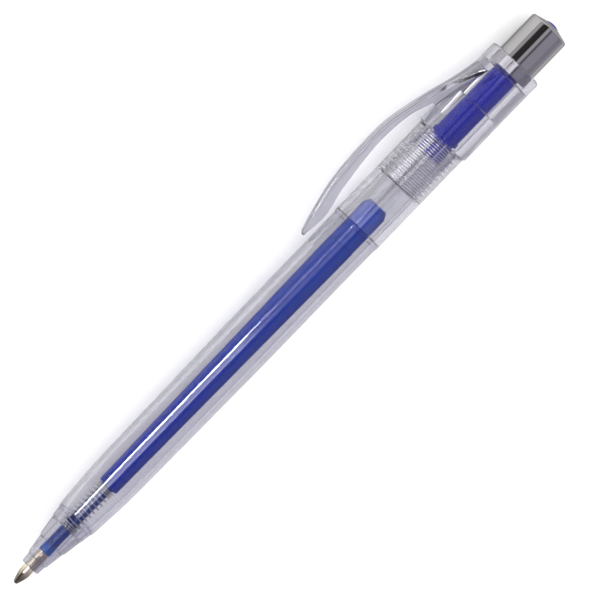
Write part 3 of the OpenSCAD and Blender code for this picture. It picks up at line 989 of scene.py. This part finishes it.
def sky():
    """An even sky for the floor and the background, and one in bands round the X axis for the rest."""
    world = bpy.data.worlds.new("studio")
    bpy.context.scene.world = world
    world.use_nodes = True
    world.node_tree.nodes.clear()
    net = Net(world.node_tree)
    direction = net.add("ShaderNodeTexCoord", out=0)

    def facing(towards):
        return net.add("ShaderNodeVectorMath", {"operation": "DOT_PRODUCT"},
                       {0: direction, 1: tuple(towards)}, out=1)

    angle = facing(TO_CLIP).math("ARCTAN2", facing(TO_CAMERA)) / (2 * math.pi) + 0.5
    ramp = net.tree.nodes.new("ShaderNodeValToRGB")
    stops = ramp.color_ramp.elements
    for i, (degrees, level) in enumerate(SKY_BANDS):
        stop = stops[i] if i < 2 else stops.new(1.0)
        stop.position = degrees / 360 + 0.5
        stop.color = (level, level * 0.97, level * (1.15 if degrees < 0 else 1.0), 1)
    feed(net.tree, ramp.inputs[0], angle)
    even = net.add("ShaderNodeBackground", {}, {"Color": (1, 1, 1, 1), "Strength": EVEN_SKY})
    banded = net.add("ShaderNodeBackground", {}, {
        "Color": Value(net.tree, ramp.outputs[0]), "Strength": 1.0})
    paths = net.tree.nodes.new("ShaderNodeLightPath")
    lit = Value(net.tree, paths.outputs["Diffuse Depth"]).math("GREATER_THAN", 0.5)
    lit = lit.math("MAXIMUM", Value(net.tree, paths.outputs["Is Camera Ray"]))
    both = net.add("ShaderNodeMixShader", {}, {0: lit, 1: banded, 2: even})
    out = net.tree.nodes.new("ShaderNodeOutputWorld")
    net.tree.links.new(both.socket, out.inputs["Surface"])


sky()
print("studio with a floor and", len(SKY_BANDS), "bands in the sky")

# %% [markdown]
# Three long lamps draw the bright lines on the barrel. They show only as reflections, and light neither
# the floor nor what is seen through the plastic. Two large lamps that aren't reflected light
# everything else.


# %% The lamps
STRIP_DISTANCE = 0.5
STRIP_LENGTH = 0.142
STRIP_MIDDLE = -20
SOFT_SIZE = 0.6


def lamp(name, position, target, width, height, power, in_reflections):
    """A rectangular lamp at a position, aimed at a target, in metres and watts."""
    data = bpy.data.lights.new(name, "AREA")
    data.shape = "RECTANGLE"
    data.size, data.size_y, data.energy = width, height, power
    obj = bpy.data.objects.new(name, data)
    bpy.context.scene.collection.objects.link(obj)
    obj.location = position
    obj.rotation_euler = (Vector(target) - Vector(position)).to_track_quat("-Z", "X").to_euler()
    obj.visible_glossy = in_reflections
    return obj


def strip(name, degrees, width, power):
    """A long lamp that only shows as a bright line on the barrel, so far round from the camera."""
    angle = math.radians(degrees)
    middle = place(STRIP_MIDDLE, 0, 0)
    towards = TO_CAMERA * math.cos(angle) + TO_CLIP * math.sin(angle)
    obj = lamp(name, middle + towards * STRIP_DISTANCE, middle, width, STRIP_LENGTH, power, True)
    obj.visible_diffuse = False
    obj.visible_transmission = False


strip("bright_strip", 19, 0.06, 0.95)
strip("soft_strip", 8, 0.17, 0.28)
strip("lower_strip", -2.5, 0.025, 0.08)
lamp("key", TO_CAMERA * 1.2 + Vector((0.3, 0, 0)), (0, 0, 0), SOFT_SIZE, SOFT_SIZE, 1.8, False)
lamp("side", (0, -0.8, 0.3), (0, 0, 0), SOFT_SIZE, SOFT_SIZE, 2.2, False)
print("lamps:", ", ".join(light.name for light in bpy.data.lights))

# %% [markdown]
# The camera looks down at the pen from the clip's side, rolled so that the tip points down to the left.
# A long lens from far away keeps the two ends at the same scale.

# %% The camera
SENSOR = 0.036
VIEW_WIDTH = 0.1122
CAMERA_DISTANCE = 1.4
ROLL = math.radians(46.0)
AIM_BACK = 71.1
AIM_ASIDE = 1.64
right = Vector((-math.cos(ROLL), 0, 0)) - TO_CLIP * math.sin(ROLL)
up = Vector((-math.sin(ROLL), 0, 0)) + TO_CLIP * math.cos(ROLL)
aim = place(AIM_BACK, 0, 0) - TO_CLIP * AIM_ASIDE * MM
camera_data = bpy.data.cameras.new("camera")
camera_data.sensor_width = SENSOR / MM
camera_data.lens = SENSOR / MM * CAMERA_DISTANCE / VIEW_WIDTH
camera_data.clip_end = 20
camera = bpy.data.objects.new("camera", camera_data)
bpy.context.scene.collection.objects.link(camera)
rotation = Matrix((right, up, TO_CAMERA)).transposed().to_4x4()
camera.matrix_world = Matrix.Translation(aim + TO_CAMERA * CAMERA_DISTANCE) @ rotation
bpy.context.scene.camera = camera
bpy.context.scene.view_settings.view_transform = "Standard"
print("camera with a", round(camera_data.lens), "mm lens,", CAMERA_DISTANCE, "m away")
